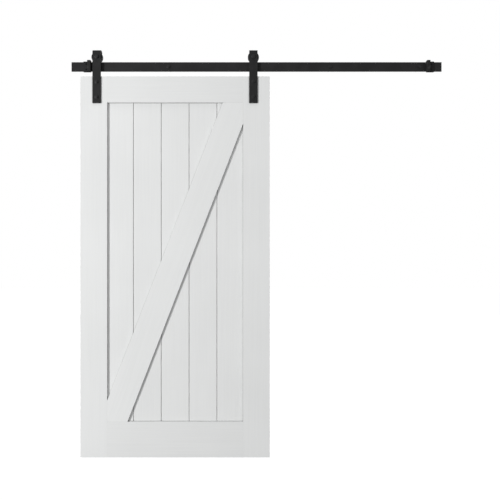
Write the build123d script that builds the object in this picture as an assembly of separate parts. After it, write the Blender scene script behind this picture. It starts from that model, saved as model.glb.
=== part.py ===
from build123d import *
import os
from math import acos, atan2, cos, hypot, sqrt, tan

os.makedirs("parts", exist_ok=True)

# Lengths are in millimetres. The origin is on the wall, at the middle of the track:
# +X runs along the track to the right, +Y goes into the wall and +Z is up.

# Door leaf
door_width = 1020.0
door_height = 2054.0
door_thickness = 36.0
stile_width = 143.5
top_rail_height = 141.0
bottom_rail_height = 192.5
plank_count = 5
plank_thickness = 16.0
groove_depth = 10.0
groove_slack = 0.2
plank_gap = 0.6
plank_chamfer = 3.0
tongue_length = 6.0
tongue_thickness = 5.0
brace_seat = 114.0

# Track and the bolts that hold it off the wall
track_length = 2000.0
track_height = 50.0
track_thickness = 6.0
wall_gap = 32.0
spacer_diameter = 28.0
outer_bolt_inset = 120.0
inner_bolt_shares = (-0.476, -0.03, 0.399)
bolt_wall_reach = 50.0
track_hole_slack = 1.5

# Fasteners: one bolt size for the track and the straps, sized by shares of its diameter
bolt_diameter = 8.0
hex_share = 1.625
head_share = 0.66
nut_share = 0.5
hex_sides = 6
bolt_tail = 1.0
hole_slack = 0.4

# Hangers: a strap folded over a grooved wheel that turns on a bearing and its bush
strap_width = 45.0
strap_thickness = 5.0
strap_overlap = 144.5
strap_setback = 88.0
strap_bend_radius = 7.0
strap_crown_gap = 2.4
strap_bolt_drops = (31.0, 112.0)
rear_leg_reach = 18.0
door_drop = 29.0
rest_gap = 8.6
wheel_diameter = 60.0
wheel_width = 20.0
wheel_side_gap = 2.0
tread_depth = 4.5
tread_side_gap = 1.5
tread_lift = 0.3
bush_diameter = 16.0
bearing_diameter = 26.0
bearing_inset = 0.6
bearing_slack = 0.05
running_gap = 0.08
axle_diameter = 10.0
axle_hex_share = 1.7
axle_head_share = 0.64

# Stops at the ends of the track
stop_length = 42.0
stop_overhang = 1.5
left_stop_gap = 13.0
right_stop_gap = 37.0
clamp_thickness = 2.5
clamp_slack = 0.4
hook_height = 8.0
bumper_length = 18.0
bumper_rise = 7.0
bumper_thickness = 16.0
bumper_radius = 2.0

cut_overrun = 1.0

# Places that follow from the sizes above
track_back = -wall_gap
track_front = track_back - track_thickness
track_middle = (track_back + track_front) / 2
track_top = track_height / 2
track_bottom = -track_top
bolt_radius = bolt_diameter / 2
bolt_hex = bolt_diameter * hex_share
bolt_head = bolt_diameter * head_share
bolt_nut = bolt_diameter * nut_share
bolt_hole_radius = bolt_radius + hole_slack
track_hole_radius = bolt_radius + track_hole_slack
axle_radius = axle_diameter / 2
axle_hole_radius = axle_radius + hole_slack
axle_hex = axle_diameter * axle_hex_share
axle_head = axle_diameter * axle_head_share
axle_nut_height = axle_diameter * nut_share
outer_bolt_x = track_length / 2 - outer_bolt_inset
inner_bolt_xs = [track_length / 2 * share for share in inner_bolt_shares]
bolt_xs = [-outer_bolt_x, *inner_bolt_xs, outer_bolt_x]

wheel_radius = wheel_diameter / 2
tread_radius = wheel_radius - tread_depth
axle_height = tread_radius + tread_lift
axle_z = track_top + axle_height
fork_half = wheel_width / 2 + wheel_side_gap
fork_front = track_middle - fork_half
fork_back = track_middle + fork_half
strap_front = fork_front - strap_thickness
strap_back = fork_back + strap_thickness
strap_inner_top = axle_z + wheel_radius + strap_crown_gap
strap_top = strap_inner_top + strap_thickness

bumper_half_chord = sqrt(wheel_radius**2 - (axle_height - bumper_rise) ** 2)
left_stop_face = -outer_bolt_x - left_stop_gap
right_stop_face = outer_bolt_x + right_stop_gap
left_wheel_x = left_stop_face + bumper_half_chord + rest_gap
door_left = left_wheel_x - strap_setback
door_right = door_left + door_width
right_wheel_x = door_right - strap_setback
wheel_xs = [left_wheel_x, right_wheel_x]

door_front = fork_front
door_back = door_front + door_thickness
door_middle = (door_front + door_back) / 2
door_top = track_bottom - door_drop
door_bottom = door_top - door_height
strap_bottom = door_top - strap_overlap
strap_bolt_zs = [door_top - drop for drop in strap_bolt_drops]

opening_left = door_left + stile_width
opening_right = door_right - stile_width
opening_top = door_top - top_rail_height
opening_bottom = door_bottom + bottom_rail_height
opening_width = opening_right - opening_left
opening_height = opening_top - opening_bottom
plank_front = door_middle - plank_thickness / 2
plank_back = door_middle + plank_thickness / 2
held_depth = groove_depth - groove_slack
panel_left = opening_left - held_depth
panel_right = opening_right + held_depth
plank_pitch = (panel_right - panel_left) / plank_count


def block(x_span, y_span, z_span):
    """A box between two planes along each axis."""
    size = [high - low for low, high in (x_span, y_span, z_span)]
    centre = [(low + high) / 2 for low, high in (x_span, y_span, z_span)]
    return Pos(*centre) * Box(*size)


def rod(x, z, y_span, radius):
    """A round bar along Y."""
    low, high = y_span
    return Pos(x, (low + high) / 2, z) * Rot(X=90) * Cylinder(radius, high - low)


def tube(x, z, y_span, radius, bore):
    """A round bar along Y with a hole through it."""
    low, high = y_span
    return rod(x, z, y_span, radius) - rod(x, z, (low - cut_overrun, high + cut_overrun), bore)


def hexagon(x, z, y_span, across):
    """A hexagonal bar along Y."""
    low, high = y_span
    plane = Plane(origin=(x, low, z), x_dir=(1, 0, 0), z_dir=(0, 1, 0))
    outline = RegularPolygon(across / 2, hex_sides, major_radius=False)
    return extrude(plane * outline, high - low)


def turned(x, z, points):
    """A solid turned about a line along Y, from points of radius and Y."""
    outline = make_face(Polyline(*points, close=True))
    return Pos(x, 0, z) * revolve(outline, Axis.Y)


def joined(pieces):
    """Pieces of one node, kept as separate solids where they do not meet."""
    first, *others = pieces
    return first + others if others else first


def bored(solid, holes):
    """A solid with holes cut from it."""
    return solid - holes


def through_holes(x, zs, y_span, radius):
    """Round cutters along Y that run past both faces."""
    low, high = y_span
    return [rod(x, z, (low - cut_overrun, high + cut_overrun), radius) for z in zs]


# Door leaf


def groove_y_span():
    """The span of Y that a groove for the planks takes."""
    return plank_front - groove_slack, plank_back + groove_slack


def stile(x_span, groove_x_span, wheel_x):
    """An upright of the frame, grooved on its inner edge and bored for a strap's bolts."""
    board = block(x_span, (door_front, door_back), (door_bottom, door_top))
    past_ends = (door_bottom - cut_overrun, door_top + cut_overrun)
    groove = block(groove_x_span, groove_y_span(), past_ends)
    holes = through_holes(wheel_x, strap_bolt_zs, (door_front, door_back), bolt_hole_radius)
    return bored(board, [groove, *holes])


def left_stile():
    """The left upright."""
    groove = (opening_left - groove_depth, opening_left + cut_overrun)
    return stile((door_left, opening_left), groove, left_wheel_x)


def right_stile():
    """The right upright."""
    groove = (opening_right - cut_overrun, opening_right + groove_depth)
    return stile((opening_right, door_right), groove, right_wheel_x)


def rail(z_span, groove_z_span, tongue_z_span):
    """A cross board of the frame, grooved for the planks, with a tongue into each stile."""
    board = block((opening_left, opening_right), (door_front, door_back), z_span)
    tongue = block((panel_left, panel_right), (plank_front, plank_back), tongue_z_span)
    past_ends = (panel_left - cut_overrun, panel_right + cut_overrun)
    groove = block(past_ends, groove_y_span(), groove_z_span)
    return board + tongue - groove


def top_rail():
    """The upper cross board."""
    groove_floor = opening_top + groove_depth
    groove = (opening_top - cut_overrun, groove_floor)
    return rail((opening_top, door_top), groove, (groove_floor, door_top))


def bottom_rail():
    """The lower cross board."""
    groove_floor = opening_bottom - groove_depth
    groove = (groove_floor, opening_bottom + cut_overrun)
    return rail((door_bottom, opening_bottom), groove, (door_bottom, groove_floor))


def plain_edge(x):
    """An edge of a plank with no joint, from front to back."""
    return [(x, plank_front), (x, plank_back)]


def grooved_edge(x):
    """The left edge of a plank, chamfered and grooved, from front to back."""
    half = tongue_thickness / 2 + groove_slack
    floor = x + tongue_length + groove_slack
    return [
        (x + plank_chamfer, plank_front),
        (x, plank_front + plank_chamfer),
        (x, door_middle - half),
        (floor, door_middle - half),
        (floor, door_middle + half),
        (x, door_middle + half),
        (x, plank_back - plank_chamfer),
        (x + plank_chamfer, plank_back),
    ]


def tongued_edge(x):
    """The right edge of a plank, chamfered and tongued, from front to back."""
    half = tongue_thickness / 2
    tip = x + plank_gap + tongue_length
    return [
        (x - plank_chamfer, plank_front),
        (x, plank_front + plank_chamfer),
        (x, door_middle - half),
        (tip, door_middle - half),
        (tip, door_middle + half),
        (x, door_middle + half),
        (x, plank_back - plank_chamfer),
        (x - plank_chamfer, plank_back),
    ]


def plank(index):
    """One upright board of the panel, joined to its neighbours by tongue and groove."""
    first = index == 0
    last = index == plank_count - 1
    left = panel_left + index * plank_pitch
    right = left + plank_pitch
    left_edge = plain_edge(left) if first else grooved_edge(left + plank_gap / 2)
    right_edge = plain_edge(right) if last else tongued_edge(right - plank_gap / 2)
    outline = make_face(Polyline(*left_edge, *reversed(right_edge), close=True))
    foot = opening_bottom - groove_depth
    length = opening_height + groove_depth + held_depth
    return Pos(0, 0, foot) * extrude(outline, length, dir=(0, 0, 1))


def brace():
    """The slanting board that lies on the planks, its ends cut to fit two corners."""
    half_width = opening_width / 2
    half_height = opening_height / 2
    rise = half_height - brace_seat
    board_half = stile_width / 2
    slope = acos(board_half / hypot(half_width, rise)) - atan2(rise, half_width)
    foot_reach = (board_half / cos(slope)) - half_height * tan(slope)
    corners = [
        (-half_width, -half_height),
        (foot_reach, -half_height),
        (half_width, rise),
    ]
    outline = corners + [(-x, -z) for x, z in corners]
    plane = Plane(
        origin=(
            (opening_left + opening_right) / 2,
            plank_front,
            (opening_top + opening_bottom) / 2,
        ),
        x_dir=(1, 0, 0),
        z_dir=(0, -1, 0),
    )
    return extrude(plane * make_face(Polyline(*outline, close=True)), plank_front - door_front)


# Track


def track_rail():
    """The flat bar that the wheels roll on."""
    ends = (-track_length / 2, track_length / 2)
    bar = block(ends, (track_front, track_back), (track_bottom, track_top))
    holes = []
    for x in bolt_xs:
        holes += through_holes(x, [0], (track_front, track_back), track_hole_radius)
    return bored(bar, holes)


def track_spacer(x):
    """A tube that holds the track off the wall."""
    return tube(x, 0, (track_back, 0), spacer_diameter / 2, track_hole_radius)


def track_bolt(x):
    """A hexagon bolt that goes through the track and a spacer and into the wall."""
    shank = rod(x, 0, (track_front, bolt_wall_reach), bolt_radius)
    return shank + hexagon(x, 0, (track_front - bolt_head, track_front), bolt_hex)


def stop_spans(face, outward):
    """The X spans of a stop's clamp and bumper, for the side of the track it is on."""
    clamp = sorted((face + outward * stop_overhang, face + outward * stop_length))
    bumper = sorted((face, face + outward * bumper_length))
    return clamp, bumper


clamp_inner_front = track_front - clamp_slack
clamp_front = clamp_inner_front - clamp_thickness
clamp_top = track_top + clamp_slack + clamp_thickness
hook_back = track_back + clamp_thickness


def stop_clamp(face, outward):
    """A bent plate that hooks round the track from the front."""
    span, _ = stop_spans(face, outward)
    past_ends = (span[0] - cut_overrun, span[1] + cut_overrun)
    outer = block(span, (clamp_front, hook_back), (-clamp_top, clamp_top))
    reach = track_top + clamp_slack
    inside = block(past_ends, (clamp_inner_front, track_back), (-reach, reach))
    gap = track_top - hook_height
    mouth = block(past_ends, (track_middle, hook_back + cut_overrun), (-gap, gap))
    return outer - [inside, mouth]


def stop_bumper(face, outward):
    """A rubber block over the front and top of a stop, which the wheel runs against."""
    _, span = stop_spans(face, outward)
    top = track_top + bumper_rise
    front = clamp_front - bumper_thickness
    slab = block(span, (front, clamp_front), (-clamp_top, top))
    cap = block(span, (clamp_front, hook_back), (clamp_top, top))
    whole = slab + cap
    front_edges = whole.edges().filter_by(Axis.X).group_by(Axis.Y)[0]
    return fillet(front_edges, bumper_radius)


# Hangers


def strap(x):
    """A flat strap bolted to the door and folded back over the wheel."""
    span = (x - strap_width / 2, x + strap_width / 2)
    past_sides = (span[0] - cut_overrun, span[1] + cut_overrun)
    outer = block(span, (strap_front, strap_back), (strap_bottom, strap_top))
    low_cut = strap_bottom - cut_overrun
    inside = block(past_sides, (fork_front, fork_back), (low_cut, strap_inner_top))
    rear_end = axle_z - rear_leg_reach
    below_leg = block(past_sides, (track_middle, strap_back + cut_overrun), (low_cut, rear_end))
    bent = outer - [inside, below_leg]
    hollow = bent.edges().filter_by(Axis.X).group_by(Axis.Z)[-2]
    bent = fillet(hollow, strap_bend_radius)
    crown = bent.edges().filter_by(Axis.X).group_by(Axis.Z)[-1]
    bent = fillet(crown, strap_bend_radius + strap_thickness)
    legs = (strap_front, strap_back)
    front_leg = (strap_front, fork_front)
    axle_hole = through_holes(x, [axle_z], legs, axle_hole_radius)
    bolt_holes = through_holes(x, strap_bolt_zs, front_leg, bolt_hole_radius)
    return bored(bent, axle_hole + bolt_holes)


def wheel(x):
    """A grooved wheel that straddles the top of the track."""
    half = wheel_width / 2
    tread_half = track_thickness / 2 + tread_side_gap
    side = [
        (tread_radius, tread_half),
        (wheel_radius, tread_half),
        (wheel_radius, half),
        (bearing_diameter / 2 + running_gap, half),
    ]
    points = side + [(radius, -y) for radius, y in reversed(side)]
    return turned(x, axle_z, [(radius, track_middle + y) for radius, y in points])


def wheel_bearing(x):
    """The ring bearing that a wheel turns on, set in from the wheel's faces."""
    half = wheel_width / 2 - bearing_inset
    bore = bush_diameter / 2 + bearing_slack
    faces = (track_middle - half, track_middle + half)
    return tube(x, axle_z, faces, bearing_diameter / 2, bore)


def axle_bush(x):
    """The tube clamped between a strap's legs that carries a bearing."""
    return tube(x, axle_z, (fork_front, fork_back), bush_diameter / 2, axle_hole_radius)


def axle_bolt(x):
    """The hexagon bolt that holds a bush between a strap's legs."""
    shank = rod(x, axle_z, (strap_front, strap_back + axle_nut_height + bolt_tail), axle_radius)
    return shank + hexagon(x, axle_z, (strap_front - axle_head, strap_front), axle_hex)


def axle_nut(x):
    """The low nut on an axle bolt, behind the strap."""
    span = (strap_back, strap_back + axle_nut_height)
    nut = hexagon(x, axle_z, span, axle_hex)
    return bored(nut, through_holes(x, [axle_z], span, axle_hole_radius))


def strap_bolt(x, z):
    """A hexagon bolt through a strap and a stile."""
    shank = rod(x, z, (strap_front, door_back + bolt_nut + bolt_tail), bolt_radius)
    return shank + hexagon(x, z, (strap_front - bolt_head, strap_front), bolt_hex)


def strap_nut(x, z):
    """The low nut on a strap bolt, on the back of the door."""
    span = (door_back, door_back + bolt_nut)
    nut = hexagon(x, z, span, bolt_hex)
    return bored(nut, through_holes(x, [z], span, bolt_hole_radius))


strap_bolt_places = [(x, z) for x in wheel_xs for z in strap_bolt_zs]
stop_places = [(left_stop_face, -1), (right_stop_face, 1)]

nodes = {
    "left_stile": left_stile(),
    "right_stile": right_stile(),
    "top_rail": top_rail(),
    "bottom_rail": bottom_rail(),
    "brace": brace(),
    "track_rail": track_rail(),
    "track_spacers": joined([track_spacer(x) for x in bolt_xs]),
    "track_bolts": joined([track_bolt(x) for x in bolt_xs]),
    "wheel_bearings": joined([wheel_bearing(x) for x in wheel_xs]),
    "axle_bushes": joined([axle_bush(x) for x in wheel_xs]),
    "axle_bolts": joined([axle_bolt(x) for x in wheel_xs]),
    "axle_nuts": joined([axle_nut(x) for x in wheel_xs]),
    "strap_bolts": joined([strap_bolt(*place) for place in strap_bolt_places]),
    "strap_nuts": joined([strap_nut(*place) for place in strap_bolt_places]),
}
for number in range(plank_count):
    nodes[f"plank_{number + 1}"] = plank(number)
for side, x in zip(("left", "right"), wheel_xs):
    nodes[f"{side}_strap"] = strap(x)
    nodes[f"{side}_wheel"] = wheel(x)
for side, stop in zip(("left", "right"), stop_places):
    nodes[f"{side}_stop_clamp"] = stop_clamp(*stop)
    nodes[f"{side}_stop_bumper"] = stop_bumper(*stop)

for name, shape in nodes.items():
    export_step(shape, f"parts/{name}.step")
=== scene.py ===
"""Dresses the sliding barn door: its finishes, fasteners, wheels, studio and camera.

Lengths are in metres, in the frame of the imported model: the origin is on the wall at the
middle of the track, +X runs along the track, +Y goes into the wall and +Z is up.
"""

from __future__ import annotations

import logging
import math
from collections.abc import Iterable, Sequence
from dataclasses import dataclass, field
from enum import Enum

import bmesh
import bpy
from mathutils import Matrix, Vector

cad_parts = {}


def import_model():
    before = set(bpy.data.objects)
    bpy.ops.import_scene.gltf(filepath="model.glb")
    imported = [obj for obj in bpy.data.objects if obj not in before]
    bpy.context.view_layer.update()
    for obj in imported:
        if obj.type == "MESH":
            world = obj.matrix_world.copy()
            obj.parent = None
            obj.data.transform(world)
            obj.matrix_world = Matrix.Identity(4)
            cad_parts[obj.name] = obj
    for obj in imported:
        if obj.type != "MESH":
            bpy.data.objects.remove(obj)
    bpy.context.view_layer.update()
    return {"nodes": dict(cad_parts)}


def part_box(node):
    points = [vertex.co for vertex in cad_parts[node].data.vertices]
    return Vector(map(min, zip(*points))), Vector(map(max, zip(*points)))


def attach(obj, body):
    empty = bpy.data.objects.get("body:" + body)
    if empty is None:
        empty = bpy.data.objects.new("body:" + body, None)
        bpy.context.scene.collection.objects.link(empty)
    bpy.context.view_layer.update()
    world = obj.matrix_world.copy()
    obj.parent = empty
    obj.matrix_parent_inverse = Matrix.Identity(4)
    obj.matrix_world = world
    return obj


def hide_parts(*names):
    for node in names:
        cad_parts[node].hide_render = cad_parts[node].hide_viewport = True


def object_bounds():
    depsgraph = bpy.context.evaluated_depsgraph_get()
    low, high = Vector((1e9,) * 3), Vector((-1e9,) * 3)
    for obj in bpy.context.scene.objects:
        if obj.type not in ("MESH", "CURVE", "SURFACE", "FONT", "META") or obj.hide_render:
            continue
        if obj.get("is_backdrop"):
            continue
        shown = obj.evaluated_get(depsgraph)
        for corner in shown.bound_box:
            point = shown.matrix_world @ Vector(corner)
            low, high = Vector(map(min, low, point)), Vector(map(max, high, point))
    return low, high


Colour = tuple[float, float, float]
Place = tuple[float, float, float]
Point = tuple[float, float]
Limits = tuple[float, float]
Ring = list[Vector]

LOG = logging.getLogger("barn_door")
MM = 0.001
WALL = 0.0
WELD_REACH = 1e-6
FLAT_ANGLE = math.radians(0.5)
SHARP_ANGLE = math.radians(35.0)
OCCLUSION_SAMPLES = 8
WHITE: Colour = (1.0, 1.0, 1.0)
UNSTRETCHED: Place = (1.0, 1.0, 1.0)

# The sockets that a Mix node uses for colours
MIX_SHARE = 0
MIX_FIRST = 6
MIX_SECOND = 7
MIX_RESULT = 2


# Shader nodes


class Value:
    """A number on a socket, whose arithmetic adds Math nodes."""

    def __init__(self, nodes: Nodes, socket: bpy.types.NodeSocket) -> None:
        """Keeps a socket and the node tree that it belongs to.

        Args:
            nodes: The tree that new Math nodes go into.
            socket: The output socket that carries the number.
        """
        self.nodes = nodes
        self.socket = socket

    def math(self, operation: str, *operands: Value | float) -> Value:
        """Adds a Math node.

        Args:
            operation: The Math node's operation.
            operands: The values or numbers that it works on, in order.

        Returns:
            The node's result.
        """
        node = self.nodes.add("ShaderNodeMath", {"operation": operation}, dict(enumerate(operands)))
        return Value(self.nodes, node.outputs[0])

    def __add__(self, other: Value | float) -> Value:
        """This value plus another."""
        return self.math("ADD", self, other)

    def __radd__(self, other: float) -> Value:
        """A number plus this value."""
        return self.math("ADD", other, self)

    def __sub__(self, other: Value | float) -> Value:
        """This value less another."""
        return self.math("SUBTRACT", self, other)

    def __rsub__(self, other: float) -> Value:
        """A number less this value."""
        return self.math("SUBTRACT", other, self)

    def __mul__(self, other: Value | float) -> Value:
        """This value times another."""
        return self.math("MULTIPLY", self, other)

    def __rmul__(self, other: float) -> Value:
        """A number times this value."""
        return self.math("MULTIPLY", other, self)

    def mixed(self, other: Value, share: float) -> Value:
        """This value with that share of another mixed in."""
        return self * (1 - share) + other * share

    def between(self, low: float, high: float) -> Value:
        """Maps a span of this value to 0 to 1, smoothly and within those limits.

        Args:
            low: The value that becomes 0.
            high: The value that becomes 1.

        Returns:
            The mapped value.
        """
        settings = {"interpolation_type": "SMOOTHSTEP"}
        inputs = {"Value": self, "From Min": low, "From Max": high}
        node = self.nodes.add("ShaderNodeMapRange", settings, inputs)
        return Value(self.nodes, node.outputs["Result"])


SocketInput = Value | bpy.types.NodeSocket | float | tuple


def opaque(colour: SocketInput) -> SocketInput:
    """Gives a plain colour an alpha of 1, and leaves a socket as it is."""
    return (*colour, 1.0) if isinstance(colour, tuple) else colour


class Nodes:
    """A node tree, and the one way in which nodes are added to it."""

    def __init__(self, tree: bpy.types.NodeTree) -> None:
        """Empties a tree and keeps it."""
        self.tree = tree
        self.tree.nodes.clear()

    def add(
        self,
        kind: str,
        settings: dict[str, object] | None = None,
        inputs: dict[str | int, SocketInput] | None = None,
    ) -> bpy.types.Node:
        """Adds a node.

        Args:
            kind: The node's Blender type.
            settings: Its properties, set before its sockets.
            inputs: Values or links of its sockets, by name or place.

        Returns:
            The new node.
        """
        node = self.tree.nodes.new(kind)
        for name, setting in (settings or {}).items():
            setattr(node, name, setting)
        for name, given in (inputs or {}).items():
            self.feed(node.inputs[name], given)
        return node

    def feed(self, socket: bpy.types.NodeSocket, given: SocketInput) -> None:
        """Links a socket or sets its value.

        Args:
            socket: The input socket.
            given: A value, an output socket, or a constant.
        """
        if isinstance(given, Value):
            self.tree.links.new(given.socket, socket)
        elif isinstance(given, bpy.types.NodeSocket):
            self.tree.links.new(given, socket)
        else:
            socket.default_value = given


class Surface(Nodes):
    """A material with one Principled shader and the patterns that feed it."""

    def __init__(self, name: str, constants: dict[str, float]) -> None:
        """Makes the material.

        Args:
            name: The material's name.
            constants: Values that hold all over the surface, by the shader's socket.
        """
        self.material = bpy.data.materials.new(name)
        self.material.use_nodes = True
        super().__init__(self.material.node_tree)
        self.shader = self.add("ShaderNodeBsdfPrincipled")
        self.add("ShaderNodeOutputMaterial", inputs={"Surface": self.shader.outputs[0]})
        for socket, constant in constants.items():
            self.shader.inputs[socket].default_value = constant

    def paint(self, links: dict[str, SocketInput]) -> None:
        """Feeds the Principled shader's sockets with what varies over the surface."""
        for socket, given in links.items():
            self.feed(self.shader.inputs[socket], given)

    def place(self, stretch: Place = UNSTRETCHED, turn: float = 0.0) -> bpy.types.NodeSocket:
        """The point on the object, turned about Y and stretched.

        Args:
            stretch: What each axis is multiplied by.
            turn: The angle in radians, before the stretch.

        Returns:
            The vector socket.
        """
        point = self.add("ShaderNodeTexCoord").outputs["Object"]
        about_y = {"rotation_type": "Y_AXIS"}
        turned = self.add("ShaderNodeVectorRotate", about_y, {"Vector": point, "Angle": turn})
        factors = {0: turned.outputs[0], 1: stretch}
        scaled = self.add("ShaderNodeVectorMath", {"operation": "MULTIPLY"}, factors)
        return scaled.outputs[0]

    def noise(
        self, vector: bpy.types.NodeSocket, scale: float = 1.0, detail: float = 2.0
    ) -> Value:
        """A cloudy pattern from 0 to 1.

        Args:
            vector: Where it is sampled.
            scale: How many clouds there are to a unit of the vector.
            detail: How many finer octaves it has.

        Returns:
            The pattern's value.
        """
        inputs = {"Vector": vector, "Scale": scale, "Detail": detail}
        return Value(self, self.add("ShaderNodeTexNoise", inputs=inputs).outputs[0])

    def cells(self, vector: bpy.types.NodeSocket, scale: float) -> Value:
        """The distance to the nearest of many scattered points.

        Args:
            vector: Where it is sampled.
            scale: How many points there are to a unit of the vector.

        Returns:
            The pattern's value.
        """
        inputs = {"Vector": vector, "Scale": scale}
        return Value(self, self.add("ShaderNodeTexVoronoi", inputs=inputs).outputs["Distance"])

    def openness(self, reach: float, inside: bool = False) -> Value:
        """How open the surface is to its surroundings, from 0 in a tight corner to 1.

        Args:
            reach: How far it looks.
            inside: Looks into the solid instead, so that 0 is a sharp outer edge.

        Returns:
            The openness.
        """
        settings = {"inside": inside, "samples": OCCLUSION_SAMPLES, "only_local": inside}
        node = self.add("ShaderNodeAmbientOcclusion", settings, {"Distance": reach})
        return Value(self, node.outputs["AO"])

    def corners(self, reach: float) -> Value:
        """How far the surface lies in a corner, from 0 in the open to 1."""
        return 1 - self.openness(reach)

    def edges(self, reach: float) -> Value:
        """How near the surface is to an outer edge, from 0 on a flat to 1."""
        return 1 - self.openness(reach, inside=True)

    def blend(
        self, share: Value, first: SocketInput, second: SocketInput
    ) -> bpy.types.NodeSocket:
        """A mix of two colours.

        Args:
            share: How much of the second there is.
            first: The colour at 0.
            second: The colour at 1.

        Returns:
            The colour socket.
        """
        inputs = {MIX_SHARE: share, MIX_FIRST: opaque(first), MIX_SECOND: opaque(second)}
        return self.add("ShaderNodeMix", {"data_type": "RGBA"}, inputs).outputs[MIX_RESULT]

    def relief(self, height: Value, depth: float, strength: float) -> bpy.types.NodeSocket:
        """A normal for small relief.

        Args:
            height: The height from 0 to 1.
            depth: The height in metres that 1 stands for.
            strength: How strongly it shows.

        Returns:
            The normal socket.
        """
        inputs = {"Height": height, "Distance": depth, "Strength": strength}
        return self.add("ShaderNodeBump", inputs=inputs).outputs[0]


# Finishes


class GrainRun(Enum):
    """The way in which a board's grain runs, as its turn from upright about Y."""

    UPRIGHT = 0.0
    LEVEL = math.pi / 2


@dataclass(frozen=True)
class PaintedWood:
    """Matt off-white paint, brushed along the grain of a board, with painted shade in its corners
    and recesses.
    """

    name: str
    turn: float = GrainRun.UPRIGHT.value
    tone: float = 1.0
    colour: Colour = (0.796, 0.804, 0.801)
    worn: Colour = (0.86, 0.857, 0.840)
    # Painted shade: the dark colour that the paint is mixed towards in corners and recesses.
    shade_colour: Colour = (0.26, 0.26, 0.255)
    grain_stretch: Place = (140.0, 140.0, 3.0)
    grain_detail: float = 3.0
    grain_share: float = 0.4
    stroke_stretch: Place = (900.0, 900.0, 14.0)
    cloud_scale: float = 2.4
    cloud_detail: float = 3.0
    dim_share: float = 0.955
    dim_limits: Limits = (0.30, 0.72)
    edge_reach: float = 2.2 * MM
    worn_limits: Limits = (0.28, 0.55)
    worn_share: float = 0.5
    # How far the painted shade reaches into tight corners and wider recesses, and how dark it gets
    # there.
    corner_reach: float = 7.0 * MM
    corner_limits: Limits = (0.06, 0.60)
    corner_shade: float = 0.70
    recess_reach: float = 30.0 * MM
    recess_limits: Limits = (0.05, 0.60)
    recess_shade: float = 0.06
    specular: float = 0.32
    roughness: float = 0.50
    stroke_roughness: float = 0.14
    edge_polish: float = 0.06
    relief_depth: float = 0.3 * MM
    relief_strength: float = 0.5

    def make(self) -> bpy.types.Material:
        """Builds the material.

        Returns:
            The material.
        """
        surface = Surface(self.name, {"Specular IOR Level": self.specular})
        grain_place = surface.place(self.grain_stretch, self.turn)
        grain = surface.noise(grain_place, detail=self.grain_detail)
        strokes = surface.noise(surface.place(self.stroke_stretch, self.turn))
        cloud = surface.noise(surface.place(), self.cloud_scale, self.cloud_detail)
        edge = surface.edges(self.edge_reach)
        paint = tuple(channel * self.tone for channel in self.colour)
        dim = tuple(channel * self.dim_share for channel in paint)
        dimmed = cloud.mixed(grain, self.grain_share).between(*self.dim_limits)
        base = surface.blend(dimmed, paint, dim)
        lighter_edge = (edge * cloud).between(*self.worn_limits) * self.worn_share
        painted = surface.blend(lighter_edge, base, self.worn)
        # Painted shade: darkens the paint in tight corners and in recesses beside the stiles, rails
        # and brace, where shade falls.
        in_corners = surface.corners(self.corner_reach).between(*self.corner_limits)
        in_recesses = surface.corners(self.recess_reach).between(*self.recess_limits)
        painted_shade = in_corners * self.corner_shade + in_recesses * self.recess_shade
        height = strokes.mixed(grain, self.grain_share)
        gloss = self.stroke_roughness * strokes - self.edge_polish * edge
        surface.paint(
            {
                "Base Color": surface.blend(painted_shade, painted, self.shade_colour),
                "Roughness": self.roughness + gloss,
                "Normal": surface.relief(height, self.relief_depth, self.relief_strength),
            }
        )
        return surface.material


@dataclass(frozen=True)
class PowderCoat:
    """Matt black powder coat, with a fine orange-peel texture and lighter edges that are partly
    rubbed wear and partly a painted highlight.
    """

    name: str
    colour: Colour = (0.0136, 0.0136, 0.0141)
    # Wear and painted highlight: the lighter colour that the edges take, partly rubbed coat and
    # partly a painted highlight.
    lighter_edge: Colour = (0.036, 0.036, 0.037)
    peel_scale: float = 1500.0
    speck_scale: float = 700.0
    speck_limits: Limits = (0.05, 0.32)
    speck_share: float = 0.3
    cloud_scale: float = 16.0
    cloud_detail: float = 4.0
    dust_gain: float = 1.35
    dust_limits: Limits = (0.35, 0.70)
    edge_reach: float = 1.6 * MM
    rub_least: float = 0.4
    rub_limits: Limits = (0.32, 0.75)
    rub_and_sheen_share: float = 0.7
    specular: float = 0.22
    roughness: float = 0.50
    cloud_roughness: float = 0.16
    peel_roughness: float = 0.10
    rub_polish: float = 0.10
    relief_depth: float = 0.22 * MM
    relief_strength: float = 0.65

    def make(self) -> bpy.types.Material:
        """Builds the material.

        Returns:
            The material.
        """
        surface = Surface(self.name, {"Specular IOR Level": self.specular})
        point = surface.place()
        peel = surface.noise(point, self.peel_scale)
        speck = surface.cells(point, self.speck_scale).between(*self.speck_limits)
        cloud = surface.noise(point, self.cloud_scale, self.cloud_detail)
        dusty = tuple(channel * self.dust_gain for channel in self.colour)
        base = surface.blend(cloud.between(*self.dust_limits), self.colour, dusty)
        # Lighter edges: partly rubbed wear, partly a painted highlight along the edges.
        patches = surface.edges(self.edge_reach) * (self.rub_least + cloud)
        worn = patches.between(*self.rub_limits)
        texture = self.cloud_roughness * cloud + self.peel_roughness * peel
        height = peel.mixed(speck, self.speck_share)
        surface.paint(
            {
                "Base Color": surface.blend(worn * self.rub_and_sheen_share, base, self.lighter_edge),
                "Roughness": self.roughness + texture - self.rub_polish * worn,
                "Normal": surface.relief(height, self.relief_depth, self.relief_strength),
            }
        )
        return surface.material


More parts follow.
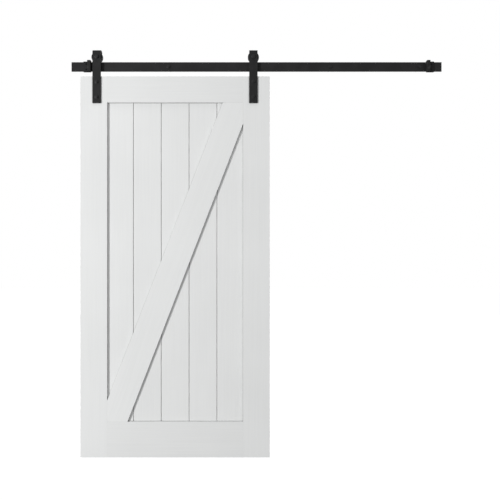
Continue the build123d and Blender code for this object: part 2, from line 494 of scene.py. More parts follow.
@dataclass(frozen=True)
class BlackOxide:
    """Black-oxided steel fasteners: satin, with bright steel where edges are worn."""

    name: str
    colour: Colour = (0.0135, 0.0135, 0.0145)
    steel: Colour = (0.13, 0.128, 0.124)
    turning_stretch: Place = (260.0, 2600.0, 260.0)
    cloud_scale: float = 90.0
    cloud_detail: float = 3.0
    edge_reach: float = 0.9 * MM
    worn_least: float = 0.35
    worn_limits: Limits = (0.38, 0.85)
    worn_share: float = 0.55
    worn_metal: float = 0.5
    specular: float = 0.38
    roughness: float = 0.38
    cloud_roughness: float = 0.18
    worn_polish: float = 0.08
    relief_depth: float = 0.05 * MM
    relief_strength: float = 0.4

    def make(self) -> bpy.types.Material:
        """Builds the material.

        Returns:
            The material.
        """
        surface = Surface(self.name, {"Specular IOR Level": self.specular})
        turning = surface.noise(surface.place(self.turning_stretch))
        cloud = surface.noise(surface.place(), self.cloud_scale, self.cloud_detail)
        patches = surface.edges(self.edge_reach) * (self.worn_least + cloud)
        worn = patches.between(*self.worn_limits)
        satin = self.roughness + self.cloud_roughness * cloud
        surface.paint(
            {
                "Base Color": surface.blend(worn * self.worn_share, self.colour, self.steel),
                "Roughness": satin - self.worn_polish * worn,
                "Metallic": worn * self.worn_metal,
                "Normal": surface.relief(turning, self.relief_depth, self.relief_strength),
            }
        )
        return surface.material


@dataclass(frozen=True)
class Nylon:
    """Moulded black nylon with faint flow marks."""

    name: str
    colour: Colour = (0.0190, 0.0190, 0.0198)
    scuffed: Colour = (0.045, 0.045, 0.046)
    flow_stretch: Place = (60.0, 500.0, 60.0)
    flow_detail: float = 3.0
    pore_scale: float = 1300.0
    pore_limits: Limits = (0.02, 0.30)
    pore_share: float = 0.4
    edge_reach: float = 1.4 * MM
    scuff_least: float = 0.4
    scuff_limits: Limits = (0.35, 0.80)
    scuff_share: float = 0.6
    specular: float = 0.45
    roughness: float = 0.36
    flow_roughness: float = 0.16
    scuff_roughness: float = 0.10
    relief_depth: float = 0.08 * MM
    relief_strength: float = 0.35

    def make(self) -> bpy.types.Material:
        """Builds the material.

        Returns:
            The material.
        """
        surface = Surface(self.name, {"Specular IOR Level": self.specular})
        flow = surface.noise(surface.place(self.flow_stretch), detail=self.flow_detail)
        pores = surface.cells(surface.place(), self.pore_scale).between(*self.pore_limits)
        patches = surface.edges(self.edge_reach) * (self.scuff_least + flow)
        scuff = patches.between(*self.scuff_limits)
        marked = self.roughness + self.flow_roughness * flow
        height = flow.mixed(pores, self.pore_share)
        surface.paint(
            {
                "Base Color": surface.blend(scuff * self.scuff_share, self.colour, self.scuffed),
                "Roughness": marked + self.scuff_roughness * scuff,
                "Normal": surface.relief(height, self.relief_depth, self.relief_strength),
            }
        )
        return surface.material


@dataclass(frozen=True)
class Rubber:
    """Matt black rubber with a dusty bloom."""

    name: str
    colour: Colour = (0.0150, 0.0150, 0.0150)
    bloom: Colour = (0.034, 0.034, 0.033)
    dust_scale: float = 55.0
    dust_detail: float = 5.0
    dust_limits: Limits = (0.42, 0.72)
    grit_scale: float = 2200.0
    corner_reach: float = 6.0 * MM
    corner_limits: Limits = (0.40, 0.95)
    corner_dust: float = 0.4
    specular: float = 0.25
    roughness: float = 0.72
    dust_roughness: float = 0.18
    relief_depth: float = 0.12 * MM
    relief_strength: float = 0.5

    def make(self) -> bpy.types.Material:
        """Builds the material.

        Returns:
            The material.
        """
        surface = Surface(self.name, {"Specular IOR Level": self.specular})
        point = surface.place()
        dust = surface.noise(point, self.dust_scale, self.dust_detail)
        grit = surface.noise(point, self.grit_scale)
        base = surface.blend(dust.between(*self.dust_limits), self.colour, self.bloom)
        in_corners = surface.corners(self.corner_reach).between(*self.corner_limits)
        surface.paint(
            {
                "Base Color": surface.blend(in_corners * self.corner_dust, base, self.bloom),
                "Roughness": self.roughness + self.dust_roughness * dust,
                "Normal": surface.relief(grit, self.relief_depth, self.relief_strength),
            }
        )
        return surface.material


@dataclass(frozen=True)
class TurnedSteel:
    """Bright steel, turned on a lathe about a line along Y."""

    name: str
    colour: Colour = (0.56, 0.56, 0.57)
    oiled: Colour = (0.30, 0.29, 0.275)
    ring_stretch: Place = (30.0, 5200.0, 30.0)
    film_scale: float = 120.0
    film_detail: float = 4.0
    film_limits: Limits = (0.45, 0.75)
    film_grime: float = 0.5
    corner_reach: float = 3.0 * MM
    corner_limits: Limits = (0.30, 0.90)
    corner_grime: float = 0.4
    metallic: float = 1.0
    roughness: float = 0.24
    ring_roughness: float = 0.14
    film_roughness: float = 0.12
    relief_depth: float = 0.03 * MM
    relief_strength: float = 0.4

    def make(self) -> bpy.types.Material:
        """Builds the material.

        Returns:
            The material.
        """
        surface = Surface(self.name, {"Metallic": self.metallic})
        rings = surface.noise(surface.place(self.ring_stretch))
        film = surface.noise(surface.place(), self.film_scale, self.film_detail)
        in_corners = surface.corners(self.corner_reach).between(*self.corner_limits)
        on_flats = film.between(*self.film_limits) * self.film_grime
        grime = on_flats + in_corners * self.corner_grime
        turned = self.roughness + self.ring_roughness * rings
        surface.paint(
            {
                "Base Color": surface.blend(grime, self.colour, self.oiled),
                "Roughness": turned + self.film_roughness * film,
                "Normal": surface.relief(rings, self.relief_depth, self.relief_strength),
            }
        )
        return surface.material


@dataclass(frozen=True)
class PaleFloor:
    """A floor that glows almost as brightly as the backdrop behind it."""

    name: str
    colour: Colour = (0.09, 0.09, 0.09)
    clouded: Colour = (0.10, 0.10, 0.10)
    glow: Colour = WHITE
    clouded_glow: Colour = (0.99, 0.99, 0.99)
    glow_strength: float = 0.980
    cloud_scale: float = 1.5
    cloud_detail: float = 4.0
    specular: float = 0.0
    roughness: float = 0.8
    cloud_roughness: float = 0.1

    def make(self) -> bpy.types.Material:
        """Builds the material.

        Returns:
            The material.
        """
        constants = {"Specular IOR Level": self.specular, "Emission Strength": self.glow_strength}
        surface = Surface(self.name, constants)
        cloud = surface.noise(surface.place(), self.cloud_scale, self.cloud_detail)
        surface.paint(
            {
                "Base Color": surface.blend(cloud, self.colour, self.clouded),
                "Roughness": self.roughness + self.cloud_roughness * cloud,
                "Emission Color": surface.blend(cloud, self.glow, self.clouded_glow),
            }
        )
        return surface.material


# Meshes


def circle(radius: float, y: float, count: int) -> Ring:
    """Points on a circle about Y.

    Args:
        radius: The circle's radius.
        y: Its place along Y.
        count: How many points it has.

    Returns:
        The points, in order.
    """
    turns = (2 * math.pi * i / count for i in range(count))
    return [Vector((radius * math.cos(t), y, radius * math.sin(t))) for t in turns]


def hexagon(across: float, y: float, count: int, crown: float = 0.0) -> Ring:
    """Points round a hexagon about Y, its corners drawn back as by a conical chamfer.

    Args:
        across: The width across its flats.
        y: Its place along Y where the flats touch the cone.
        count: How many points it has, a multiple of 12.
        crown: How steeply its corners draw back along Y.

    Returns:
        The points, in order.
    """
    apothem = across / 2
    points = []
    for i in range(count):
        turn = 2 * math.pi * i / count
        off_flat = (turn % (math.pi / 3)) - math.pi / 6
        reach = apothem / math.cos(off_flat)
        drawn_back = y + crown * (reach - apothem)
        points.append(Vector((reach * math.cos(turn), drawn_back, reach * math.sin(turn))))
    return points


def arc_corners(
    outline: Sequence[Point], radii: Sequence[float], steps: int = 4
) -> list[Point]:
    """Rounds the corners of a closed outline.

    Args:
        outline: Its corners, in order.
        radii: How much each corner is rounded, 0 for none.
        steps: How many runs each rounding has.

    Returns:
        The rounded outline.
    """
    rounded: list[Point] = []
    for i, (corner, radius) in enumerate(zip(outline, radii)):
        if radius == 0.0:
            rounded.append(corner)
            continue
        here = Vector(corner)
        before = (Vector(outline[i - 1]) - here).normalized()
        after = (Vector(outline[(i + 1) % len(outline)]) - here).normalized()
        half = math.acos(max(-1.0, min(1.0, before.dot(after)))) / 2
        centre = here + (before + after).normalized() * (radius / math.sin(half))
        start = here + before * (radius / math.tan(half)) - centre
        end = here + after * (radius / math.tan(half)) - centre
        sweep = start.angle_signed(end)
        for k in range(steps + 1):
            turn = -sweep * k / steps
            x = start.x * math.cos(turn) - start.y * math.sin(turn)
            y = start.x * math.sin(turn) + start.y * math.cos(turn)
            rounded.append((centre.x + x, centre.y + y))
    return rounded


class Draft:
    """A mesh being drawn from rings of points about lines along Y."""

    def __init__(self) -> None:
        """Starts an empty mesh."""
        self.mesh = bmesh.new()

    def skin(self, rings: Iterable[Ring], centre: Vector, looped: bool = False) -> None:
        """Joins rings with faces.

        Args:
            rings: Rings of the same count, about Y through the origin.
            centre: Where that origin goes.
            looped: Joins the last ring to the first; otherwise both ends are capped.
        """
        rows = [[self.mesh.verts.new(point + centre) for point in ring] for ring in rings]
        pairs = list(zip(rows, rows[1:]))
        if looped:
            pairs.append((rows[-1], rows[0]))
        else:
            self.mesh.faces.new(rows[0])
            self.mesh.faces.new(rows[-1])
        for low, high in pairs:
            for i in range(len(low)):
                j = (i + 1) % len(low)
                self.mesh.faces.new((low[i], low[j], high[j], high[i]))

    def turn(self, outline: Iterable[Point], centre: Vector, count: int) -> None:
        """Turns a closed outline of radius and Y about a line along Y.

        Args:
            outline: The points of the outline, in order.
            centre: A point on the line.
            count: How many runs the circle has.
        """
        self.skin([circle(radius, y, count) for radius, y in outline], centre, looped=True)

    def piece(self, name: str, material: bpy.types.Material) -> bpy.types.Object:
        """Turns the draft into an object.

        Args:
            name: The object's name.
            material: Its finish.

        Returns:
            The object, linked to the scene.
        """
        bmesh.ops.recalc_face_normals(self.mesh, faces=self.mesh.faces[:])
        data = bpy.data.meshes.new(name)
        self.mesh.to_mesh(data)
        self.mesh.free()
        data.shade_smooth()
        data.set_sharp_from_angle(angle=SHARP_ANGLE)
        data.materials.append(material)
        made = bpy.data.objects.new(name, data)
        bpy.context.scene.collection.objects.link(made)
        return made


@dataclass(frozen=True)
class Span:
    """The box that one solid fills."""

    low: Vector
    high: Vector

    @property
    def middle(self) -> Vector:
        """The box's centre."""
        return (self.low + self.high) / 2

    @property
    def size(self) -> Vector:
        """The box's extent along each axis."""
        return self.high - self.low

    @property
    def axis(self) -> Vector:
        """The point at Y zero on the line along Y through the box's centre."""
        return Vector((self.middle.x, 0.0, self.middle.z))


def solids_of(node: bpy.types.Object) -> list[Span]:
    """Finds the separate solids of a node.

    Args:
        node: A node's object.

    Returns:
        The box of each solid, from left to right and then from low to high.
    """
    mesh = bmesh.new()
    mesh.from_mesh(node.data)
    bmesh.ops.remove_doubles(mesh, verts=mesh.verts[:], dist=WELD_REACH)
    unseen = set(mesh.verts)
    spans = []
    while unseen:
        waiting = [unseen.pop()]
        found = []
        while waiting:
            vertex = waiting.pop()
            found.append(vertex.co.copy())
            near = {edge.other_vert(vertex) for edge in vertex.link_edges} & unseen
            unseen -= near
            waiting.extend(near)
        low = Vector(min(point[axis] for point in found) for axis in range(3))
        high = Vector(max(point[axis] for point in found) for axis in range(3))
        spans.append(Span(low, high))
    mesh.free()
    return sorted(spans, key=lambda span: (round(span.middle.x, 4), span.middle.z))


# Fasteners


@dataclass(frozen=True)
class HexForm:
    """What hexagon heads and nuts share: flats with a conical chamfer."""

    crown_share: float = 0.94
    crown_slope: float = 0.58
    count: int = 36

    def crown(self, across: float) -> tuple[float, float]:
        """The round crown that the chamfer leaves.

        Args:
            across: The width across flats.

        Returns:
            The crown's radius, and how far the chamfer runs along Y at the flats.
        """
        radius = across / 2 * self.crown_share
        return radius, (across / 2 - radius) * self.crown_slope


@dataclass(frozen=True)
class ScrewThread:
    """A coarse pointed thread along Y."""

    pitch: float = 3.2 * MM
    rows_per_turn: int = 6
    point_share: float = 2.2
    tip_share: float = 0.08
    root_share: float = 0.76
    ridge_half: float = 0.28

    def rings(self, radius: float, start: float, end: float, count: int) -> list[Ring]:
        """The rings of a thread, from its point to its start.

        Args:
            radius: The radius that its crests reach.
            start: Where it starts along Y.
            end: Where its point is along Y.
            count: How many points a ring has.

        Returns:
            The rings, in order.
        """
        rows = round((end - start) / self.pitch * self.rows_per_turn)
        point_length = radius * self.point_share
        rings = []
        for row in range(rows, -1, -1):
            y = start + (end - start) * row / rows
            taper = min(1.0, (end - y) / point_length * (1 - self.tip_share) + self.tip_share)
            ring = []
            for i in range(count):
                turn = 2 * math.pi * i / count
                phase = (y / self.pitch - i / count) % 1.0
                ridge = max(0.0, 1.0 - abs(phase - 0.5) / self.ridge_half)
                reach = radius * taper * (self.root_share + (1 - self.root_share) * ridge)
                ring.append(Vector((reach * math.cos(turn), y, reach * math.sin(turn))))
            rings.append(ring)
        return rings


@dataclass(frozen=True)
class HexBolt(HexForm):
    """A hexagon-headed bolt whose head and washer point to -Y."""

    washer_share: float = 1.7
    washer_thickness: float = 1.1 * MM
    washer_edge_share: float = 0.35
    washer_edge_steps: int = 2
    washer_count: int = 48
    hole_slack: float = 0.4 * MM
    dish_share: float = 0.70
    dish_depth: float = 0.35 * MM
    end_chamfer: float = 0.9 * MM

    def head_rings(self, across: float, seat: float, front: float) -> list[Ring]:
        """The rings of a head, from its seat to its dished crown.

        Args:
            across: The width across flats.
            seat: Where its underside is along Y.
            front: Where its crown is along Y.

        Returns:
            The rings, in order.
        """
        crown, drop = self.crown(across)
        dish = across / 2 * self.dish_share
        return [
            hexagon(across, seat, self.count),
            hexagon(across, front + drop, self.count, self.crown_slope),
            circle(crown, front, self.count),
            circle(dish, front, self.count),
            circle(dish - self.dish_depth, front + self.dish_depth, self.count),
        ]

    def plain_shank(self, radius: float, seat: float, end: float) -> list[Ring]:
        """The rings of a plain shank with a chamfered end.

        Args:
            radius: The shank's radius.
            seat: Where the head's underside is along Y.
            end: Where the shank ends along Y.

        Returns:
            The rings, from the end to the seat.
        """
        chamfer = self.end_chamfer
        points = [(radius - chamfer, end), (radius, end - chamfer), (radius, seat)]
        return [circle(r, y, self.count) for r, y in points]

    def screw_shank(
        self, radius: float, seat: float, end: float, thread: ScrewThread
    ) -> list[Ring]:
        """The rings of a shank that is threaded from the wall's face to its point.

        Args:
            radius: The shank's radius.
            seat: Where the head's underside is along Y.
            end: Where the point is along Y.
            thread: The thread.

        Returns:
            The rings, from the point to the seat.
        """
        threaded = thread.rings(radius, WALL, end, self.count)
        return threaded + [circle(radius, y, self.count) for y in (WALL, seat)]

    def washer(self, draft: Draft, across: float, hole: float, seat: float, centre: Vector) -> None:
        """Adds the washer that lies under a head.

        Args:
            draft: The mesh that it goes into.
            across: The head's width across flats.
            hole: The washer's inner radius.
            seat: Where its back is along Y.
            centre: A point on the bolt's line, at Y zero.
        """
        outer = across / 2 * self.washer_share
        front = seat - self.washer_thickness
        corners = [(hole, seat), (outer, seat), (outer, front), (hole, front)]
        edge = self.washer_thickness * self.washer_edge_share
        outline = arc_corners(corners, (0.0, edge, edge, edge), self.washer_edge_steps)
        draft.turn(outline, centre, self.washer_count)

    def drafts(
        self, node: bpy.types.Object, face: float, radius: float, thread: ScrewThread | None = None
    ) -> tuple[Draft, Draft]:
        """Draws bolts where a node has them, with a washer under each head.

        Args:
            node: The node of plain bolts.
            face: Where the washers' backs are along Y.
            radius: The radius of the shanks.
            thread: The pointed thread that the shanks end in, if they have one.

        Returns:
            The bolts, and the washers.
        """
        bolts = Draft()
        washers = Draft()
        seat = face - self.washer_thickness
        for span in solids_of(node):
            across = span.size.z
            if thread is None:
                shank = self.plain_shank(radius, seat, span.high.y)
            else:
                shank = self.screw_shank(radius, seat, span.high.y, thread)
            bolts.skin(shank + self.head_rings(across, seat, span.low.y), span.axis)
            self.washer(washers, across, radius + self.hole_slack, face, span.axis)
        return bolts, washers


@dataclass(frozen=True)
class HexNut(HexForm):
    """A low hexagon nut on a bolt along Y, chamfered on both faces."""

    mouth: float = 0.7 * MM
    bore_slack: float = 0.1 * MM

    def draft(self, node: bpy.types.Object, radius: float) -> Draft:
        """Draws nuts where a node has them.

        Args:
            node: The node of plain nuts.
            radius: The radius of the bolts in them.

        Returns:
            The nuts.
        """
        nuts = Draft()
        bore = radius + self.bore_slack
        for span in solids_of(node):
            across = span.size.z
            front, back = span.low.y, span.high.y
            crown, drop = self.crown(across)
            rings = [
                circle(bore, front + self.mouth, self.count),
                circle(bore + self.mouth, front, self.count),
                circle(crown, front, self.count),
                hexagon(across, front + drop, self.count, self.crown_slope),
                hexagon(across, back - drop, self.count, -self.crown_slope),
                circle(crown, back, self.count),
                circle(bore + self.mouth, back, self.count),
                circle(bore, back - self.mouth, self.count),
            ]
            nuts.skin(rings, span.axis, looped=True)
        return nuts


# Sub-assemblies


class Side(Enum):
    """The two ends of the track, and of the door, as their nodes' names begin."""

    LEFT = "left"
    RIGHT = "right"


@dataclass
class Parts:
    """The frame's nodes, and the list of pieces made so far."""

    nodes: dict[str, bpy.types.Object]
    made: list[str] = field(default_factory=list)

    def keep(self, piece: bpy.types.Object, body: str, slot: str, *replaced: str) -> None:
        """Sets a new piece on its body.

        Args:
            piece: The piece.
            body: The body that it moves with.
            slot: The name of a material slot; not used.
            replaced: The nodes that it stands for.
        """
        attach(piece, body)
        if replaced:
            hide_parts(*replaced)
        self.made.append(piece.name)

    def dress(self, name: str, material: bpy.types.Material, ease: float, steps: int = 2) -> None:
        """Gives a node that keeps its own shape its finish and eased edges.

        Args:
            name: The node's name.
            material: Its finish.
            ease: The width of its eased edges.
            steps: How many runs an eased edge has.
        """
        node = self.nodes[name]
        node.data.materials.clear()
        node.data.materials.append(material)
        weld = node.modifiers.new("joined_corners", "WELD")
        weld.merge_threshold = WELD_REACH
        merged = node.modifiers.new("merged_flats", "DECIMATE")
        merged.decimate_type = "DISSOLVE"
        merged.angle_limit = FLAT_ANGLE
        bevel = node.modifiers.new("eased_edges", "BEVEL")
        bevel.width = ease
        bevel.segments = steps
        bevel.limit_method = "ANGLE"
        bevel.angle_limit = SHARP_ANGLE
        bevel.use_clamp_overlap = True
        normals = node.modifiers.new("flat_faces", "WEIGHTED_NORMAL")
        normals.keep_sharp = False
        self.made.append(name)


@dataclass
class DoorLeaf:
    """The framed door: stiles, rails, planks and brace."""

    parts: Parts
    frame_ease: float = 0.45 * MM
    plank_ease: float = 0.35 * MM
    top_tone: float = 0.992
    bottom_tone: float = 0.984
    brace_tone: float = 1.016
    plank_tones: tuple[float, ...] = (1.010, 0.998, 1.000, 1.006, 1.010)

    def brace_turn(self) -> float:
        """The brace's lean from upright, found from its own box and the stiles' width.

        Returns:
            The angle in radians.
        """
        low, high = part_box("brace")
        stile_low, stile_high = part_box("left_stile")
        width = stile_high.x - stile_low.x
        run, rise = high.x - low.x, high.z - low.z
        return math.atan2(run - width, rise - width * run / rise)

    def build(self) -> None:
        """Dresses every board with its own paint."""
        for name in ("left_stile", "right_stile"):
            self.parts.dress(name, PaintedWood(f"{name}_paint").make(), self.frame_ease)
        for name, tone in (("top_rail", self.top_tone), ("bottom_rail", self.bottom_tone)):
            paint = PaintedWood(f"{name}_paint", GrainRun.LEVEL.value, tone)
            self.parts.dress(name, paint.make(), self.frame_ease)
        slant = PaintedWood("brace_paint", -self.brace_turn(), self.brace_tone)
        self.parts.dress("brace", slant.make(), self.frame_ease)
        for number, tone in enumerate(self.plank_tones, start=1):
            paint = PaintedWood(f"plank_{number}_paint", tone=tone)
            self.parts.dress(f"plank_{number}", paint.make(), self.plank_ease)


@dataclass
class Track:
    """The flat bar on the wall, with its spacers and bolts."""

    parts: Parts
    coat: bpy.types.Material
    fastener: bpy.types.Material
    bolt: HexBolt = HexBolt()
    thread: ScrewThread = ScrewThread()
    bolt_radius: float = 4.0 * MM
    bar_ease: float = 0.7 * MM
    spacer_ease: float = 0.8 * MM

    def build(self) -> None:
        """Dresses the bar and spacers, and makes the bolts and washers."""
        self.parts.dress("track_rail", self.coat, self.bar_ease)
        self.parts.dress("track_spacers", self.coat, self.spacer_ease)
        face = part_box("track_rail")[0].y
        node = self.parts.nodes["track_bolts"]
        bolts, washers = self.bolt.drafts(node, face, self.bolt_radius, self.thread)
        screws = bolts.piece("wall_screws", self.fastener)
        self.parts.keep(screws, "track", "black_fastener", "track_bolts")
        self.parts.keep(washers.piece("wall_washers", self.fastener), "track", "black_fastener")


@dataclass
class EndStop:
    """A stop at one end of the track: a clamp, its set screws and a rubber bumper."""

    parts: Parts
    side: Side
    coat: bpy.types.Material
    fastener: bpy.types.Material
    rubber: bpy.types.Material
    clamp_ease: float = 0.6 * MM
    bumper_ease: float = 1.6 * MM
    bumper_steps: int = 3
    screw_radius: float = 4.6 * MM
    screw_height: float = 3.4 * MM
    screw_profile: tuple[Point, ...] = ((1.0, 0.0), (1.0, 0.55), (0.93, 0.82), (0.76, 1.0))
    screw_count: int = 36
    screw_spread_share: float = 0.27
    socket_across: float = 4.0 * MM
    socket_depth: float = 2.2 * MM

    def screw_rings(self) -> list[Ring]:
        """The rings of a low socket head, whose profile is in shares of its radius and height.

        Returns:
            The rings, from its seat to the floor of its socket.
        """
        front = -self.screw_height
        outside = [
            circle(self.screw_radius * out, front * up, self.screw_count)
            for out, up in self.screw_profile
        ]
        socket = [
            hexagon(self.socket_across, y, self.screw_count)
            for y in (front, front + self.socket_depth)
        ]
        return outside + socket

    def build(self) -> None:
        """Dresses the clamp and bumper and adds the set screws."""
        clamp, bumper = f"{self.side.value}_stop_clamp", f"{self.side.value}_stop_bumper"
        self.parts.dress(clamp, self.coat, self.clamp_ease)
        self.parts.dress(bumper, self.rubber, self.bumper_ease, self.bumper_steps)
        low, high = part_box(clamp)
        bumper_low, bumper_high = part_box(bumper)
        if self.side is Side.LEFT:
            x = (low.x + bumper_low.x) / 2
        else:
            x = (high.x + bumper_high.x) / 2
        spread = (high.z - low.z) * self.screw_spread_share
        screws = Draft()
        for z in (-spread, spread):
            screws.skin(self.screw_rings(), Vector((x, low.y, z)))
        made = screws.piece(f"{self.side.value}_stop_screws", self.fastener)
        self.parts.keep(made, "track", "black_fastener")


@dataclass
class Hanger:
    """A folded strap and its wheel."""

    parts: Parts
    side: Side
    coat: bpy.types.Material
    nylon: bpy.types.Material
    strap_ease: float = 0.6 * MM
    tread_radius: float = 25.5 * MM
    tread_half: float = 4.0 * MM
    mouth_half: float = 5.0 * MM
    tread_round: float = 0.5 * MM
    mouth_round: float = 0.8 * MM
    rim_round: float = 1.3 * MM
    dish_outer: float = 22.0 * MM
    dish_inner: float = 16.5 * MM
    dish_depth: float = 1.6 * MM
    dish_round: float = 0.5 * MM
    bore: float = 13.08 * MM
    bore_round: float = 0.3 * MM
    runs: int = 96

    def wheel_outline(self, radius: float, half: float) -> list[Point]:
        """The section of a grooved wheel with rounded rims and dished sides.

        Args:
            radius: The wheel's outer radius.
            half: Half of its width.

        Returns:
            The closed outline, as radius and Y from the wheel's middle.
        """
        floor = half - self.dish_depth
        side = [
            (self.tread_radius, self.tread_half, self.tread_round),
            (radius, self.mouth_half, self.mouth_round),
            (radius, half, self.rim_round),
            (self.dish_outer, half, self.dish_round),
            (self.dish_outer - self.dish_depth, floor, self.dish_round),
            (self.dish_inner + self.dish_depth, floor, self.dish_round),
            (self.dish_inner, half, self.dish_round),
            (self.bore, half, self.bore_round),
        ]
        whole = side + [(r, -y, rounding) for r, y, rounding in reversed(side)]
        corners = [(r, y) for r, y, _ in whole]
        return arc_corners(corners, [rounding for _, _, rounding in whole])

    def build(self) -> None:
        """Dresses the strap and makes the wheel."""
        self.parts.dress(f"{self.side.value}_strap", self.coat, self.strap_ease)
        body = f"{self.side.value}_wheel"
        wheel = Span(*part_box(body))
        tyre = Draft()
        outline = self.wheel_outline(wheel.size.z / 2, wheel.size.y / 2)
        tyre.turn(outline, wheel.middle, self.runs)
        self.parts.keep(tyre.piece(f"{body}_tyre", self.nylon), body, "black_nylon", body)


@dataclass
class Bearings:
    """The sealed ring bearings that the wheels turn on: two races and rubber seals."""

    parts: Parts
    rubber: bpy.types.Material
    steel: bpy.types.Material
    inner: float = 8.05 * MM
    inner_race: float = 1.5 * MM
    outer_race: float = 1.8 * MM
    race_round: float = 0.3 * MM
    race_steps: int = 3
    seal_round: float = 0.0
    seal_inset: float = 0.6 * MM
    runs: int = 72

    def ring(
        self, draft: Draft, radii: Point, half: float, rounding: float, centre: Vector
    ) -> None:
        """Adds a ring about a line along Y.

        Args:
            draft: The mesh that it goes into.
            radii: Its inner and outer radius.
            half: Half of its width.
            rounding: How much its corners are rounded.
            centre: Its middle.
        """
        low, high = radii
        corners = [(low, -half), (high, -half), (high, half), (low, half)]
        outline = arc_corners(corners, (rounding,) * len(corners), self.race_steps)
        draft.turn(outline, centre, self.runs)

    def build(self) -> None:
        """Makes the races and seals of both bearings."""
        races = Draft()
        seals = Draft()
        for span in solids_of(self.parts.nodes["wheel_bearings"]):
            outer = span.size.z / 2
            half = span.size.y / 2
            seal = (self.inner + self.inner_race, outer - self.outer_race)
            self.ring(races, (self.inner, seal[0]), half, self.race_round, span.middle)
            self.ring(races, (seal[1], outer), half, self.race_round, span.middle)
            self.ring(seals, seal, half - self.seal_inset, self.seal_round, span.middle)
        made = races.piece("bearing_races", self.steel)
        self.parts.keep(made, "door", "bush_steel", "wheel_bearings")
        self.parts.keep(seals.piece("bearing_seals", self.rubber), "door", "black_rubber")


@dataclass
class HangerFasteners:
    """The bolts, washers and nuts of both hangers, and the bushes of their bearings."""

    parts: Parts
    fastener: bpy.types.Material
    steel: bpy.types.Material
    bolt: HexBolt = HexBolt()
    axle: HexBolt = HexBolt(washer_share=1.3, washer_thickness=1.0 * MM)
    nut: HexNut = HexNut()
    bolt_radius: float = 4.0 * MM
    axle_radius: float = 5.0 * MM
    bush_ease: float = 0.5 * MM

    def bolts(self, name: str, pattern: HexBolt, radius: float) -> None:
        """Makes the bolts and washers that stand for a node.

        Args:
            name: The node of plain bolts.
            pattern: The form of the bolts.
            radius: Their shank's radius.
        """
        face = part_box("left_strap")[0].y
        bolts, washers = pattern.drafts(self.parts.nodes[name], face, radius)
        turned = bolts.piece(f"{name}_turned", self.fastener)
        self.parts.keep(turned, "door", "black_fastener", name)
        self.parts.keep(washers.piece(f"{name}_washers", self.fastener), "door", "black_fastener")

    def nuts(self, name: str, radius: float) -> None:
        """Makes the nuts that stand for a node.

        Args:
            name: The node of plain nuts.
            radius: The radius of the bolts in them.
        """
        nuts = self.nut.draft(self.parts.nodes[name], radius)
        turned = nuts.piece(f"{name}_turned", self.fastener)
        self.parts.keep(turned, "door", "black_fastener", name)

    def build(self) -> None:
        """Makes the fasteners and dresses the bushes."""
        self.bolts("strap_bolts", self.bolt, self.bolt_radius)
        self.bolts("axle_bolts", self.axle, self.axle_radius)
        self.nuts("strap_nuts", self.bolt_radius)
        self.nuts("axle_nuts", self.axle_radius)
        self.parts.dress("axle_bushes", self.steel, self.bush_ease)


# Studio


@dataclass(frozen=True)
class Lamp:
    """A round soft lamp."""

    name: str
    place: Place
    target: Place
    power: float
    size: float

    def hang(self) -> None:
        """Hangs the lamp and aims it."""
        light = bpy.data.lights.new(self.name, "AREA")
        light.shape = "DISK"
        light.size = self.size
        light.energy = self.power
        hung = bpy.data.objects.new(self.name, light)
        hung.location = self.place
        aim = Vector(self.target) - Vector(self.place)
        hung.rotation_euler = aim.to_track_quat("-Z", "Y").to_euler()
        bpy.context.scene.collection.objects.link(hung)


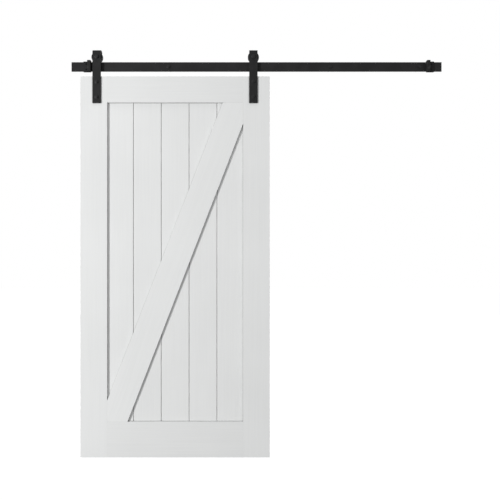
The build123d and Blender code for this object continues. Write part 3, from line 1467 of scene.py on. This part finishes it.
@dataclass
class Studio:
    """The floor, lights and camera."""

    floor_gap: float = 14.0 * MM
    floor_half: float = 14.0
    ambient: float = 0.350
    backdrop: float = 1.0
    key: Lamp = Lamp("key", (-6.6, -5.0, -0.45), (-0.3, -0.05, -0.95), 503.0, 1.3)
    fill: Lamp = Lamp("fill", (6.2, -5.0, 0.3), (-0.3, -0.05, -0.95), 78.0, 1.6)
    top: Lamp = Lamp("top", (-0.6, -1.1, 3.2), (-0.3, -0.05, -0.60), 22.0, 1.4)
    back: Lamp = Lamp("back", (4.6, 5.8, 1.2), (-0.3, 0.0, -0.95), 420.0, 3.2)
    camera_place: Place = (-0.0353, -3.247, -0.990)
    camera_turn: Place = (math.pi / 2, 0.0, 0.0)
    camera_lens: float = 42.75
    camera_sensor: float = 36.0
    camera_reach: float = 60.0

    def world(self) -> None:
        """Makes white surroundings that light the object less than they show."""
        world = bpy.data.worlds.new("studio")
        world.use_nodes = True
        bpy.context.scene.world = world
        nodes = Nodes(world.node_tree)
        seen = Value(nodes, nodes.add("ShaderNodeLightPath").outputs["Is Camera Ray"])
        strength = self.ambient + (self.backdrop - self.ambient) * seen
        inputs = {"Color": opaque(WHITE), "Strength": strength}
        light = nodes.add("ShaderNodeBackground", inputs=inputs)
        nodes.add("ShaderNodeOutputWorld", inputs={"Surface": light.outputs[0]})

    def floor(self) -> None:
        """Lays the pale floor under the door."""
        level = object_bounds()[0][2] - self.floor_gap
        half = self.floor_half
        mesh = bmesh.new()
        corners = [(-half, -half), (half, -half), (half, half), (-half, half)]
        mesh.faces.new([mesh.verts.new((x, y, level)) for x, y in corners])
        data = bpy.data.meshes.new("floor")
        mesh.to_mesh(data)
        mesh.free()
        data.materials.append(PaleFloor("pale_floor").make())
        floor = bpy.data.objects.new("floor", data)
        floor.visible_diffuse = False
        floor.visible_glossy = False
        bpy.context.scene.collection.objects.link(floor)
        floor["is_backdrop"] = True

    def camera(self) -> None:
        """Sets the camera level, square to the door."""
        data = bpy.data.cameras.new("camera")
        data.lens = self.camera_lens
        data.sensor_width = self.camera_sensor
        data.clip_end = self.camera_reach
        camera = bpy.data.objects.new("camera", data)
        camera.location = self.camera_place
        camera.rotation_euler = self.camera_turn
        bpy.context.scene.collection.objects.link(camera)
        bpy.context.scene.camera = camera

    def build(self) -> None:
        """Builds the studio and sets plain colour handling."""
        self.world()
        self.floor()
        for lamp in (self.key, self.fill, self.top, self.back):
            lamp.hang()
        self.camera()
        bpy.context.scene.view_settings.view_transform = "Standard"
        bpy.context.scene.view_settings.look = "None"


def main() -> None:
    """Loads the frame, dresses it, and sets it in the studio."""
    logging.basicConfig(level=logging.INFO, format="%(name)s: %(message)s")
    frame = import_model()
    parts = Parts(frame["nodes"])
    coat = PowderCoat("powder_coat").make()
    fastener = BlackOxide("black_oxide").make()
    nylon = Nylon("nylon").make()
    rubber = Rubber("rubber").make()
    steel = TurnedSteel("turned_steel").make()
    DoorLeaf(parts).build()
    Track(parts, coat, fastener).build()
    for side in Side:
        EndStop(parts, side, coat, fastener, rubber).build()
        Hanger(parts, side, coat, nylon).build()
    Bearings(parts, rubber, steel).build()
    HangerFasteners(parts, fastener, steel).build()
    Studio().build()
    for name in parts.made:
        LOG.info("piece %s", name)


if __name__ == "__main__":
    main()
